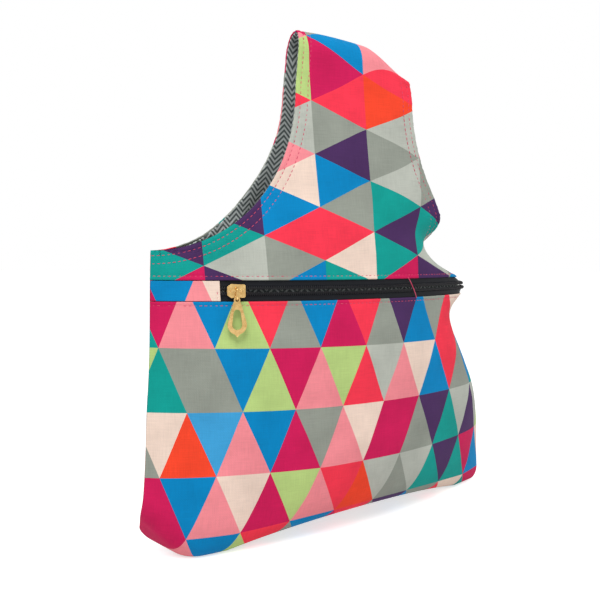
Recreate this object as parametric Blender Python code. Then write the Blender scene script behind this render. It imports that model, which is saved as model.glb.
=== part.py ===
"""Sewn cotton wrist bag: two printed faces cut in one with a loop handle, a lining and a zip pocket.

Metres, +Z up. The bag stands on its base at z = 0, the pocket faces -Y and the side seams lie in the
plane y = 0.
"""
import math

import bmesh
import bpy
from mathutils import Matrix, Vector

MM = 0.001
CLEARANCE = 0.3 * MM

# Flat cloth and standing shape of one face
HALF_WIDTH_BASE = 146 * MM
HALF_WIDTH_SHOULDER = 134 * MM
CORNER_RADIUS = 30 * MM
ROLL_HEIGHT = 79 * MM
FULL_HEIGHT = 124 * MM
SHOULDER_HEIGHT = 186 * MM
BASE_FULLNESS = 0.25
BASE_SEAM_SHARE = 0.7
ROLL_FULLNESS = 0.92
SHOULDER_FULLNESS = 0.93
FULL_CURVE = 3.9
SEAM_CURL = 80.0
CURL_START = 100 * MM
TWIST = -0.42
TWIST_GROWTH = 0.92

# Armholes and handle
STRAP_LENGTH = 15.5 * MM
HANDLE_HALF_WIDTH = 41 * MM
CROWN_HALF_WIDTH = 37 * MM
HANDLE_TOP = 316 * MM
HANDLE_CURVE = 3.0
HANDLE_EASE = 1.6
FRONT_HANDLE_DEPTH = 23 * MM
BACK_HANDLE_DEPTH = 0 * MM
CROWN_RADIUS = (FRONT_HANDLE_DEPTH + BACK_HANDLE_DEPTH) / 2
ARMHOLE_RISE = HANDLE_TOP - CROWN_RADIUS - STRAP_LENGTH - SHOULDER_HEIGHT

# Cloth layers
PANEL_THICKNESS = 1.0 * MM
LINING_THICKNESS = 0.8 * MM
POCKET_CLOTH_THICKNESS = 0.6 * MM
POCKET_DEPTH = 80 * MM
LINING_RISE_END = 22 * MM
LAYER_GAP = 0.7 * MM

# Zip
ZIP_HEIGHT = 162 * MM
ZIP_BAND = 12.7 * MM
TAPE_WIDTH = 18 * MM
TAPE_THICKNESS = 0.5 * MM
TAPE_EDGE_GAP = 1.8 * MM
CHAIN_GAP = 1.3 * MM
CHAIN_HALF_WIDTH = 2.25 * MM
CHAIN_THICKNESS = 1.7 * MM
COIL_PITCH = 3.0 * MM
COIL_RELIEF = 0.35 * MM
CHAIN_SEAM_GAP = 4 * MM
CHAIN_END = HALF_WIDTH_SHOULDER - CHAIN_SEAM_GAP
TAB_LENGTH = 40 * MM
TAB_END = TAB_LENGTH - HALF_WIDTH_SHOULDER

# Slider, link and pull
SLIDER_TAB_GAP = 9.5 * MM
SLIDER_REST = TAB_END + SLIDER_TAB_GAP
SLIDER_LENGTH = 11 * MM
SLIDER_NOSE_WIDTH = 5.0 * MM
SLIDER_CLEARANCE = 0.35 * MM
PLATE_THICKNESS = 1.0 * MM
PLATE_MARGIN = 1.0 * MM
PLATE_SHAPE = ((1.0, 0.8), (0.6, 0.9), (-0.55, 1.0))
FLANGE_THICKNESS = 0.75 * MM
FLANGE_SPAN = (-0.5, 0.92)
POST_WIDTH = 0.7 * MM
POST_LENGTH = 2.2 * MM
POST_SETBACK = 0.6 * MM
BRIDGE_LENGTH = 7.4 * MM
BRIDGE_BAR = 1.2 * MM
BRIDGE_BEND_IN_BARS = 1.4
LINK_INNER_RADIUS = 1.3 * MM
LINK_STRAIGHT = 3.6 * MM
LINK_WIRE = 1.1 * MM
PULL_LENGTH = 24 * MM
PULL_WIDTH = 11.5 * MM
PULL_THICKNESS = 1.2 * MM
PULL_EYE_RADIUS = 0.95 * MM
PULL_RIM = 1.0 * MM
PULL_SLOT_WIDTH = 6.0 * MM
PULL_SLOT_LENGTH = 13 * MM
PULL_TIP = 1.6 * MM
PULL_FLANK_SHARE = 0.45
PULL_SLOT_TAPER = 0.72

# How finely the curved cloth is divided
COLUMNS = 20
ROLL_ROWS = 6
ARMHOLE_ROWS = 9
CROWN_ROWS = 4
SECTION_STEPS = 16
PROBE_ALONG = 0.1 * MM
PROBE_LEVEL = 0.002

COLOURS = {
    "print": (0.85, 0.38, 0.42, 1),
    "lining": (0.33, 0.34, 0.33, 1),
    "tape": (0.012, 0.013, 0.016, 1),
    "gold": (0.75, 0.49, 0.16, 1),
}


def make_material(name, roughness, metallic=0.0):
    """A plain finish in the piece's own colour."""
    material = bpy.data.materials.new(name)
    material.use_nodes = True
    shader = material.node_tree.nodes["Principled BSDF"]
    shader.inputs["Base Color"].default_value = COLOURS[name]
    shader.inputs["Roughness"].default_value = roughness
    shader.inputs["Metallic"].default_value = metallic
    return material


def smoothstep(t):
    t = min(max(t, 0.0), 1.0)
    return t * t * (3 - 2 * t)


def fullness(z):
    """Share of the full bulge at a height on the upright wall of the bag."""
    if z < FULL_HEIGHT:
        share = smoothstep((z - ROLL_HEIGHT) / (FULL_HEIGHT - ROLL_HEIGHT))
        return ROLL_FULLNESS + (1 - ROLL_FULLNESS) * share
    share = smoothstep((z - FULL_HEIGHT) / (SHOULDER_HEIGHT - FULL_HEIGHT))
    return 1 - (1 - SHOULDER_FULLNESS) * share


def seam_half_width(z):
    """Flat half width of the cloth between its side seams, with the rounded bottom corners."""
    half = HALF_WIDTH_BASE + (HALF_WIDTH_SHOULDER - HALF_WIDTH_BASE) * z / SHOULDER_HEIGHT
    if z < CORNER_RADIUS:
        half -= CORNER_RADIUS - math.sqrt(CORNER_RADIUS**2 - (CORNER_RADIUS - z) ** 2)
    return half


def plan_section(s, curve, curl):
    """Place across and sag of a point s along a plan section: an arc that curls in near the seams."""
    across = sag = 0.0
    step = s / SECTION_STEPS
    for i in range(SECTION_STEPS):
        q = (i + 0.5) * step
        past = max(abs(q) - CURL_START, 0.0)
        angle = curve * q + math.copysign(curl * past * past, q)
        across += math.cos(angle) * step
        sag += math.sin(angle) * step
    return across, sag


class Row:
    """One level line of a cloth face: height, plan curve, half width, depth and lean."""

    def __init__(self, z, full, half, depth=None, curve=None, lean=0.0):
        self.z = z
        self.half = half
        self.lean = lean
        self.curve = FULL_CURVE * full if curve is None else curve
        self.curl = SEAM_CURL * full
        self.seamed = depth is None
        self.depth = plan_section(half, self.curve, self.curl)[1] if depth is None else depth

    def point(self, s):
        across, sag = plan_section(s, self.curve, self.curl)
        out = self.depth - sag * math.cos(self.lean)
        return Vector((across, out, self.z - sag * math.sin(self.lean)))


def handle_depth(side_depth):
    """Depth of one handle strap from the seam plane, and its change from the shoulder."""
    shoulder = plan_section(
        HALF_WIDTH_SHOULDER, FULL_CURVE * SHOULDER_FULLNESS, SEAM_CURL * SHOULDER_FULLNESS
    )[1]
    return shoulder, side_depth - shoulder


def row_at(v, back):
    """Level line number v: 0 to 1 base, to 2 roll, to 3 wall, to 4 armhole, to 5 strap and to 6 crown."""
    if v <= 1:
        half = seam_half_width(0) * (BASE_SEAM_SHARE + (1 - BASE_SEAM_SHARE) * v)
        return Row(0.0, BASE_FULLNESS * max(v, 0.0), half)
    if v <= 2:
        angle = (v - 1) * math.pi / 2
        z = ROLL_HEIGHT * (1 - math.cos(angle))
        full = BASE_FULLNESS + (ROLL_FULLNESS - BASE_FULLNESS) * math.sin(angle)
        return Row(z, full, seam_half_width(z))
    if v <= 3:
        z = ROLL_HEIGHT + (v - 2) * (SHOULDER_HEIGHT - ROLL_HEIGHT)
        return Row(z, fullness(z), seam_half_width(z))
    return handle_row(v, back)


def handle_row(v, back):
    """Level lines above the shoulder, where the cloth narrows to the strap and bends over the crown."""
    crown_start = HANDLE_TOP - CROWN_RADIUS
    strap_start = SHOULDER_HEIGHT + ARMHOLE_RISE
    narrowing = (HANDLE_HALF_WIDTH - CROWN_HALF_WIDTH) / 2
    lean = 0.0
    if v <= 4:
        angle = (v - 3) * math.pi / 2
        z = SHOULDER_HEIGHT + ARMHOLE_RISE * (1 - math.cos(angle))
        half = HALF_WIDTH_SHOULDER - (HALF_WIDTH_SHOULDER - HANDLE_HALF_WIDTH) * math.sin(angle)
    else:
        z = strap_start + min(v - 4, 1) * (crown_start - strap_start)
        half = HANDLE_HALF_WIDTH - (v - 4) * narrowing
    share = 1 - (1 - (z - SHOULDER_HEIGHT) / (crown_start - SHOULDER_HEIGHT)) ** HANDLE_EASE
    shoulder, change = handle_depth(BACK_HANDLE_DEPTH if back else FRONT_HANDLE_DEPTH)
    depth = shoulder + change * share
    if v > 5:
        lean = (v - 5) * math.pi / 2
        depth -= CROWN_RADIUS * (1 - math.cos(lean))
        z += CROWN_RADIUS * math.sin(lean)
    full = SHOULDER_FULLNESS * max(0.0, 1 - share)
    curve = FULL_CURVE * full + HANDLE_CURVE * (1 - max(0.0, 1 - share))
    return Row(z, full, half, depth, curve, lean)


def wall_level(z):
    """The level number of a height on the upright wall."""
    return 2 + (z - ROLL_HEIGHT) / (SHOULDER_HEIGHT - ROLL_HEIGHT)


def inward(s, v, back):
    """Unit normal that points into the bag, with the second axis pointing out of the seam plane."""
    low, high = max(v - PROBE_LEVEL, 0.0), min(v + PROBE_LEVEL, 6.0)
    along = row_at(v, back).point(s + PROBE_ALONG) - row_at(v, back).point(s - PROBE_ALONG)
    up = row_at(high, back).point(s) - row_at(low, back).point(s)
    return -up.cross(along).normalized()


def cloth_point(s, v, depth, back, on_seam=False):
    """A point of one face, at a depth below its outer surface, in the standing and slightly twisted bag."""
    place = row_at(v, back).point(s) + inward(s, v, back) * depth
    out = 0.0 if on_seam else place.y
    if v <= 3:
        out = max(out, 0.0)
    y = out + CLEARANCE / 2
    return twisted(Vector((place.x, y if back else -y, place.z)))


def twisted(place):
    """The bag turns slightly about its upright axis, more towards the base, and not at the zip."""
    rise = place.z - ZIP_HEIGHT
    return Matrix.Rotation(TWIST * rise + TWIST_GROWTH * rise * rise, 3, "Z") @ place


def full_width(v, depth, back):
    """The cloth's two ends along a level line. Below a seamed face they stop at the seam plane."""
    row = row_at(v, back)
    if not row.seamed:
        return -row.half, row.half
    slope = math.sin(row.curve * row.half + row.curl * max(row.half - CURL_START, 0.0) ** 2)
    trim = depth * -inward(row.half, v, back).y / slope if slope > 1e-6 else 0.0
    return -(row.half - trim), row.half - trim


def ring_faces(bm, outer, inner):
    """Closes two equal grids of vertices into one thin solid."""
    rows, columns = len(outer), len(outer[0])
    for r in range(rows - 1):
        for c in range(columns - 1):
            for grid, turn in ((outer, 1), (inner, -1)):
                corners = [grid[r][c], grid[r][c + 1], grid[r + 1][c + 1], grid[r + 1][c]]
                bm.faces.new(corners[::turn])
    border = [(0, c) for c in range(columns)]
    border += [(r, columns - 1) for r in range(1, rows)]
    border += [(rows - 1, c) for c in range(columns - 2, -1, -1)]
    border += [(r, 0) for r in range(rows - 2, 0, -1)]
    for (r, c), (p, q) in zip(border, border[1:] + border[:1]):
        bm.faces.new([outer[p][q], outer[r][c], inner[r][c], inner[p][q]])


def finish_mesh(name, bm, material):
    """Turns a bmesh into a named object with its faces pointing out."""
    bmesh.ops.recalc_face_normals(bm, faces=bm.faces[:])
    mesh = bpy.data.meshes.new(name)
    bm.to_mesh(mesh)
    bm.free()
    mesh.materials.append(material)
    mesh.shade_smooth()
    mesh.set_sharp_from_angle(angle=math.radians(35))
    made = bpy.data.objects.new(name, mesh)
    bpy.context.scene.collection.objects.link(made)
    return made


def cloth_sheet(bm, levels, top, thickness, back=False, columns=COLUMNS, span=full_width):
    """Adds one sheet of cloth below a depth that may vary with the level."""
    grids = []
    for below in (0.0, thickness):
        grid = []
        for v in levels:
            depth = (top(v) if callable(top) else top) + below
            low, high = span(v, depth, back)
            seams = full_width(v, depth, back) if v <= 3 else ()
            places = levels_between(low, high, columns)[:-1] + [high]
            grid.append([bm.verts.new(cloth_point(s, v, depth, back, s in seams)) for s in places])
        grids.append(grid)
    ring_faces(bm, *grids)


def levels_between(low, high, count):
    return [low + (high - low) * i / count for i in range(count + 1)]


def base_levels():
    """Levels of the flat base and the roll above it."""
    return [0.0, 0.5] + levels_between(1, 2, ROLL_ROWS)


def handle_levels():
    """Levels from the shoulder over the armholes and the strap to the crown."""
    return levels_between(3, 4, ARMHOLE_ROWS) + [4.5] + levels_between(5, 6, CROWN_ROWS)


def lining_top(v):
    """Depth of the lining below the outer surface: deep behind the zip, close behind the handle."""
    close = PANEL_THICKNESS + CLEARANCE
    deep = pocket_cloth_top() + POCKET_CLOTH_THICKNESS + LAYER_GAP
    start = wall_level(SHOULDER_HEIGHT)
    strap_share = LINING_RISE_END / ARMHOLE_RISE
    end = start + math.acos(1 - strap_share) / (math.pi / 2)
    return deep + (close - deep) * smoothstep((v - start) / (end - start))


def tape_top():
    return PANEL_THICKNESS + CLEARANCE


def pocket_cloth_top():
    """Depth of the pocket's own cloth, clear of the slider's back plate."""
    return tape_top() + TAPE_THICKNESS + SLIDER_CLEARANCE + PLATE_THICKNESS + LAYER_GAP


def make_outer_panels(material):
    """The three printed pieces: pocket panel, yoke with the front strap, and back with the back strap."""
    pocket_top = wall_level(ZIP_HEIGHT - ZIP_BAND / 2)
    yoke_bottom = wall_level(ZIP_HEIGHT + ZIP_BAND / 2)
    pieces = (
        ("front_pocket_panel", base_levels() + levels_between(2, pocket_top, 3)[1:], False),
        ("front_yoke_panel", [yoke_bottom] + handle_levels(), False),
        ("back_panel", base_levels() + levels_between(2, 3, 4)[1:-1] + handle_levels(), True),
    )
    for name, levels, back in pieces:
        bm = bmesh.new()
        cloth_sheet(bm, levels, 0.0, PANEL_THICKNESS, back)
        finish_mesh(name, bm, material)


def make_linings(material):
    """Front and back lining of the main compartment, and the cloth behind the zip pocket."""
    levels = base_levels() + levels_between(2, 3, 3)[1:-1] + handle_levels()
    for name, back in (("front_lining", False), ("back_lining", True)):
        bm = bmesh.new()
        cloth_sheet(bm, levels, lining_top, LINING_THICKNESS, back)
        finish_mesh(name, bm, material)
    low = wall_level(ZIP_HEIGHT - POCKET_DEPTH)
    high = wall_level(ZIP_HEIGHT + ZIP_BAND / 2 + LINING_THICKNESS)
    bm = bmesh.new()
    cloth_sheet(bm, levels_between(low, high, 5), pocket_cloth_top(), POCKET_CLOTH_THICKNESS)
    finish_mesh("pocket_lining", bm, material)


def make_tapes(material):
    """The two tapes of the zip, whose facing edges leave room for the slider's post."""
    for name, sign in (("zip_tape_upper", 1), ("zip_tape_lower", -1)):
        near = wall_level(ZIP_HEIGHT + sign * TAPE_EDGE_GAP / 2)
        far = wall_level(ZIP_HEIGHT + sign * (TAPE_EDGE_GAP / 2 + TAPE_WIDTH))
        bm = bmesh.new()
        cloth_sheet(bm, levels_between(near, far, 2), tape_top(), TAPE_THICKNESS)
        finish_mesh(name, bm, material)


def make_end_tab(material):
    """The strip of print that covers the left end of the zip, between the two hems."""
    half = ZIP_BAND / 2 - CLEARANCE
    levels = [wall_level(ZIP_HEIGHT - half), wall_level(ZIP_HEIGHT + half)]

    def span(v, depth, back):
        return full_width(v, depth, back)[0], TAB_END

    bm = bmesh.new()
    cloth_sheet(bm, levels, 0.0, PANEL_THICKNESS, columns=4, span=span)
    finish_mesh("zip_end_tab", bm, material)


def zip_point(s, rise, depth):
    """A point of the zip: along the band, above its centre line and below the cloth's outer surface."""
    return cloth_point(s, wall_level(ZIP_HEIGHT + rise), depth, False)


def bar_along_zip(bm, stations):
    """A closed bar through four-cornered sections: (s, low rise, high rise, top, bottom) at each."""
    rings = []
    for s, low, high, top, bottom in stations:
        corners = ((low, top), (high, top), (high, bottom), (low, bottom))
        rings.append([bm.verts.new(zip_point(s, rise, depth)) for rise, depth in corners])
    for first, second in zip(rings, rings[1:]):
        for i in range(4):
            j = (i + 1) % 4
            bm.faces.new([first[i], first[j], second[j], second[i]])
    bm.faces.new(rings[0][::-1])
    bm.faces.new(rings[-1])


def make_chains(material):
    """The two half chains, from the end tab to the side seam, with a ridge for each turn of the coil."""
    bottom = PANEL_THICKNESS
    top = bottom - CHAIN_THICKNESS
    start = TAB_END + CLEARANCE
    turns = int((CHAIN_END - start) / COIL_PITCH)
    pitch = (CHAIN_END - start) / turns
    for name, sign in (("zip_chain_upper", 1), ("zip_chain_lower", -1)):
        near, far = sign * CHAIN_GAP / 2, sign * (CHAIN_GAP / 2 + CHAIN_HALF_WIDTH)
        stations = []
        for i in range(2 * turns + 1):
            sunk = COIL_RELIEF * (i % 2)
            stations.append((start + i * pitch / 2, near, far - sign * sunk, top + sunk, bottom))
        bm = bmesh.new()
        bar_along_zip(bm, stations)
        finish_mesh(name, bm, material)


def slider_frame():
    """Local frame at the slider: X along the zip as it opens, Y into the bag and Z up the cloth."""
    level = wall_level(ZIP_HEIGHT)
    origin = cloth_point(SLIDER_REST, level, 0.0, False)
    along = (cloth_point(SLIDER_REST + MM, level, 0.0, False) - origin).normalized()
    into = (cloth_point(SLIDER_REST, level, MM, False) - origin).normalized()
    frame = Matrix((along, into, along.cross(into))).transposed().to_4x4()
    frame.translation = origin
    return frame


def flat_place(x, z, y):
    """A plate's outline lies in local X and Z, and its thickness in Y."""
    return x, y, z


def upright_place(x, y, z):
    """A bar's outline lies in local X and Y, and its width in Z."""
    return x, y, z


def extruded(bm, outline, low, high, place=flat_place):
    """A prism with the same outline at its low and its high level."""
    rings = [[bm.verts.new(place(a, b, level)) for a, b in outline] for level in (low, high)]
    count = len(outline)
    for i in range(count):
        j = (i + 1) % count
        bm.faces.new([rings[0][i], rings[0][j], rings[1][j], rings[1][i]])
    bm.faces.new(rings[0][::-1])
    bm.faces.new(rings[1])


def arc(centre, radius, start, end, count):
    """Points of an arc in a plane, angles in degrees."""
    points = []
    for i in range(count + 1):
        angle = math.radians(start + (end - start) * i / count)
        points.append((centre[0] + radius * math.cos(angle), centre[1] + radius * math.sin(angle)))
    return points


def solid(name, material, build):
    """A temporary closed piece for a Boolean."""
    bm = bmesh.new()
    build(bm)
    return finish_mesh(name, bm, material)


def combine(base, others, operation):
    """Joins or cuts closed pieces, and leaves one mesh."""
    for other in others:
        step = base.modifiers.new("step", "BOOLEAN")
        step.operation = operation
        step.object = other
    graph = bpy.context.evaluated_depsgraph_get()
    mesh = bpy.data.meshes.new_from_object(base.evaluated_get(graph))
    base.modifiers.clear()
    base.data = mesh
    for other in others:
        bpy.data.objects.remove(other)
    return base


def plate_outline():
    """A slider plate: a blunt point where the halves of the chain part, and a square tail."""
    half = SLIDER_LENGTH / 2
    wide = CHAIN_GAP / 2 + CHAIN_HALF_WIDTH + SLIDER_CLEARANCE + PLATE_MARGIN
    upper = [(half * x, wide * z) for x, z in PLATE_SHAPE] + [(-half, SLIDER_NOSE_WIDTH / 2)]
    return upper + [(x, -z) for x, z in upper[::-1]]


def make_slider(material):
    """Front and back plate, side flanges, the post between them, and the bridge that holds the link."""
    reach = CHAIN_GAP / 2 + CHAIN_HALF_WIDTH
    inner = PANEL_THICKNESS - CHAIN_THICKNESS - SLIDER_CLEARANCE
    outer = inner - PLATE_THICKNESS
    back = tape_top() + TAPE_THICKNESS + SLIDER_CLEARANCE
    flange_end = tape_top() - SLIDER_CLEARANCE
    half = SLIDER_LENGTH / 2
    sunk = PLATE_THICKNESS / 2

    def box(x0, x1, y0, y1, z0, z1):
        outline = [(x0, z0), (x1, z0), (x1, z1), (x0, z1)]
        return solid("step", material, lambda bm: extruded(bm, outline, y0, y1))

    def plate(name, low, high):
        return solid(name, material, lambda bm: extruded(bm, plate_outline(), low, high))

    slider = plate("slider_body", outer, inner)
    parts = [plate("step", back, back + PLATE_THICKNESS)]
    start, post = POST_SETBACK - half, POST_WIDTH / 2
    parts.append(box(start, start + POST_LENGTH, inner - sunk, back + sunk, -post, post))
    edge = reach + SLIDER_CLEARANCE
    for sign in (-1, 1):
        sides = sorted((sign * edge, sign * (edge + FLANGE_THICKNESS)))
        parts.append(box(half * FLANGE_SPAN[0], half * FLANGE_SPAN[1], inner - sunk, flange_end, *sides))
    combine(slider, parts, "UNION")
    combine(slider, [make_bridge(material, outer)], "UNION")
    slider.matrix_world = slider_frame()


def bridge_axis_height():
    """Distance of the bridge bar's axis, about which the link swings, out from the front plate."""
    return LINK_INNER_RADIUS + LINK_WIRE + CLEARANCE


def make_bridge(material, plate):
    """A rounded bar above the front plate, turned down at both ends."""
    top = plate - bridge_axis_height() - BRIDGE_BAR / 2
    foot = plate + PLATE_THICKNESS / 2
    half = BRIDGE_LENGTH / 2
    bend = BRIDGE_BAR * BRIDGE_BEND_IN_BARS
    outer = arc((bend - half, top + bend), bend, 180, 270, 4)
    outer += arc((half - bend, top + bend), bend, 270, 360, 4)
    inner = [(half - BRIDGE_BAR, top + bend), (half - bend, top + BRIDGE_BAR)]
    inner += [(-x, y) for x, y in inner[::-1]]
    outline = [(-half, foot)] + outer + [(half, foot), (half - BRIDGE_BAR, foot)]
    outline += inner + [(BRIDGE_BAR - half, foot)]
    wide = BRIDGE_BAR / 2
    return solid("step", material, lambda bm: extruded(bm, outline, -wide, wide, upright_place))


def link_axis():
    """The bridge bar's axis in the slider's frame, about which the link swings."""
    plate = PANEL_THICKNESS - CHAIN_THICKNESS - SLIDER_CLEARANCE - PLATE_THICKNESS
    return Vector((0, plate - bridge_axis_height(), 0))


def pull_axis():
    """The middle of the link's lowest wire, about which the pull swings."""
    return link_axis() + Vector((0, 0, -(LINK_STRAIGHT + LINK_INNER_RADIUS + LINK_WIRE / 2)))


def make_link(material):
    """A closed oval ring through the bridge, hanging below it, square to the face of the bag."""
    middle = LINK_INNER_RADIUS + LINK_WIRE / 2
    path = arc((0, 0), middle, 0, 180, 8) + arc((0, -LINK_STRAIGHT), middle, 180, 360, 8)
    bm = bmesh.new()
    rings = []
    count = len(path)
    for i, (y, z) in enumerate(path):
        before, after = path[i - 1], path[(i + 1) % count]
        along = Vector((0, after[0] - before[0], after[1] - before[1])).normalized()
        side = Vector((1, 0, 0))
        out = along.cross(side)
        ring = []
        for k in range(8):
            angle = math.pi / 4 * k
            offset = (side * math.cos(angle) + out * math.sin(angle)) * LINK_WIRE / 2
            ring.append(bm.verts.new(Vector((0, y, z)) + offset))
        rings.append(ring)
    for first, second in zip(rings, rings[1:] + rings[:1]):
        for k in range(8):
            n = (k + 1) % 8
            bm.faces.new([first[k], first[n], second[n], second[k]])
    link = finish_mesh("pull_link", bm, material)
    link.matrix_world = slider_frame() @ Matrix.Translation(link_axis())


def pull_outline():
    """A teardrop: a small round head at the eye, widening to a round foot with a short tip."""
    head = PULL_EYE_RADIUS + PULL_RIM
    half = PULL_WIDTH / 2
    centre = -(PULL_LENGTH - head - PULL_TIP - half)
    right = arc((0, 0), head, 90, -20, 5)
    flank = [(head + (half - head) * PULL_FLANK_SHARE, centre * PULL_FLANK_SHARE)]
    foot = arc((0, centre), half, 12, -72, 7)
    right = right + flank + foot + [(PULL_TIP * 0.6, centre - half - PULL_TIP * 0.35)]
    left = [(-x, z) for x, z in right[:0:-1]]
    return right + [(0, centre - half - PULL_TIP)] + left


def make_pull(material):
    """A flat teardrop with an eye for the link and a long oval hole."""
    half = PULL_THICKNESS / 2
    head = PULL_EYE_RADIUS + PULL_RIM
    pull = solid("pull_tab", material, lambda bm: extruded(bm, pull_outline(), -half, half))
    eye = arc((0, 0), PULL_EYE_RADIUS, 0, 345, 15)
    radius = PULL_SLOT_WIDTH / 2
    low = -(PULL_LENGTH - head - PULL_TIP - PULL_WIDTH / 2)
    high = low + PULL_SLOT_LENGTH - PULL_SLOT_WIDTH
    slot = arc((0, low), radius, 180, 360, 8) + arc((0, high), radius * PULL_SLOT_TAPER, 0, 180, 8)
    cutters = [
        solid("step", material, lambda bm: extruded(bm, eye, -2 * half, 2 * half)),
        solid("step", material, lambda bm: extruded(bm, slot, -2 * half, 2 * half)),
    ]
    combine(pull, cutters, "DIFFERENCE")
    pull.matrix_world = slider_frame() @ Matrix.Translation(pull_axis())


def main():
    for thing in list(bpy.data.objects):
        bpy.data.objects.remove(thing)
    printed = make_material("print", 0.7)
    lining = make_material("lining", 0.85)
    tape = make_material("tape", 0.6)
    gold = make_material("gold", 0.25, 1.0)
    make_outer_panels(printed)
    make_linings(lining)
    make_tapes(tape)
    make_end_tab(printed)
    make_chains(tape)
    make_slider(gold)
    make_link(gold)
    make_pull(gold)


main()
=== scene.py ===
import collections
import functools
import math

import bmesh
import bpy
import numpy as np
from mathutils import Matrix, Vector, noise


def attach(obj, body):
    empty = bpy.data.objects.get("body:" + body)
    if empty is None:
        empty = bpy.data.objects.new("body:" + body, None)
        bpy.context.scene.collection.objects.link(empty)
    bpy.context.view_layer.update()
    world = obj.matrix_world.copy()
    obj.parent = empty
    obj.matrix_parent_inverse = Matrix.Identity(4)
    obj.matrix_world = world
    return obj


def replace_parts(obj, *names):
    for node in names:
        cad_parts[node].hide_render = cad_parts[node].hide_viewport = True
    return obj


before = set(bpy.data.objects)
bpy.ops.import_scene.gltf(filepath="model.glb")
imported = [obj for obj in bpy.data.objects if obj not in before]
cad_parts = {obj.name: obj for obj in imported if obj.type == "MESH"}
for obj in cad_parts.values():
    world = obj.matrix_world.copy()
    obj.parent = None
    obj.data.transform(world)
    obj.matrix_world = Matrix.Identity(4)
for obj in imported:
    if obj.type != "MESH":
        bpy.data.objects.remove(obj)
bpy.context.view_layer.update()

# The bag's own sizes, as in its solids, in metres
MM = 0.001
CLEARANCE = 0.3 * MM
HALF_WIDTH_BASE = 146 * MM
HALF_WIDTH_SHOULDER = 134 * MM
SEAM_CORNER_RADIUS = 11 * MM
ROLL_HEIGHT = 79 * MM
FULL_HEIGHT = 124 * MM
SHOULDER_HEIGHT = 186 * MM
BASE_FULLNESS = 0.25
BASE_SEAM_SHARE = 0.7
ROLL_FULLNESS = 0.92
SHOULDER_FULLNESS = 0.93
FULL_CURVE = 3.9
SEAM_CURL = 80.0
CURL_START = 100 * MM
TWIST = -0.42
TWIST_GROWTH = 0.92
ARMHOLE_RISE = 103 * MM
HANDLE_HALF_WIDTH = 41 * MM
CROWN_HALF_WIDTH = 37 * MM
HANDLE_TOP = 316 * MM
HANDLE_CURVE = 3.0
HANDLE_EASE = 1.6
FRONT_HANDLE_DEPTH = 23 * MM
BACK_HANDLE_DEPTH = 0 * MM
CROWN_RADIUS = (FRONT_HANDLE_DEPTH + BACK_HANDLE_DEPTH) / 2
PANEL_THICKNESS = 1.0 * MM
POCKET_LINING_FOOT = 82 * MM
POCKET_LINING_HEAD = 169.15 * MM
POCKET_LINING_DEPTH = 3.85 * MM
POCKET_LINING_THICKNESS = 0.6 * MM
LINING_THICKNESS = 0.8 * MM
LINING_DEPTH_LOW = 5.15 * MM
LINING_DEPTH_HIGH = 1.3 * MM
LINING_RISE_END = 22 * MM
ZIP_HEIGHT = 162 * MM
ZIP_BAND = 12.7 * MM
TAPE_WIDTH = 18 * MM
TAPE_THICKNESS = 0.5 * MM
TAPE_EDGE_GAP = 1.8 * MM
TAPE_DEPTH = 1.3 * MM
TAB_END = -94 * MM

# Level numbers, which count the stretches of a face from the bottom seam up to the top of the crown
BASE_END = 1
ROLL_END = 2
SHOULDER = 3
STRAP = 4
CROWN = 5
TOP = 6

# The right side, which turns away to the back, and the back, which hangs slack behind it
SIDE_TURN = 0.76
SIDE_TURN_START = 52 * MM
SIDE_TURN_SLOPE = 0.62
SIDE_TURN_WIDTH = 45 * MM
SIDE_TURN_FADE = 28 * MM
ZIP_HOLD = 49 * MM
ZIP_HOLD_REACH = 14.5 * MM
ZIP_TURN_SHARPER = 18 * MM
STEEPEST = 0.98
CHORD_FADE = 80 * MM
BACK_SHARE = 0.35
SLACK_WAVE = 43 * MM
SLACK_SHARE = 0.42
SLACK_EASE = 25 * MM
SLACK_TOP_EASE = 1.5
SLACK_BEND = 0.6
SLACK_BEND_LENGTH = 38 * MM

# The spread of the right side, at the strap and at the bottom, and the back's armholes, which lie close
STRAP_SPREAD = 7 * MM
STRAP_SPREAD_WIDTH = 35 * MM
STRAP_SPREAD_RISE = (3.3, 3.6)
STRAP_SPREAD_FALL = (5.2, 6.0)
FOOT_SPREAD = 9 * MM
FOOT_SPREAD_START = 30 * MM
FOOT_SPREAD_WIDTH = 90 * MM
FOOT_SPREAD_HEIGHT = 70 * MM
FOOT_SPREAD_FADE = 75 * MM
BACK_DRAW = 1.2
BACK_DRAW_RISE = (3.0, 3.3)
BACK_DRAW_FALL = (3.65, 4.05)

# The crown, which is tilted, and the bottom corner on the left, which bends back
CROWN_SHIFT_START = 3.9
CROWN_LIFT = 7.5 * MM
CROWN_TILT = 4 * MM
CROWN_DROP = 13 * MM
CROWN_DROP_START = 11 * MM
CROWN_DROP_WIDTH = 36 * MM
CORNER_FOOT = 102 * MM
CORNER_HEAD = 137 * MM
CORNER_HEIGHT = 42 * MM
CORNER_BEND_RADIUS = 11 * MM
CORNER_BEND = 1.25

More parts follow.
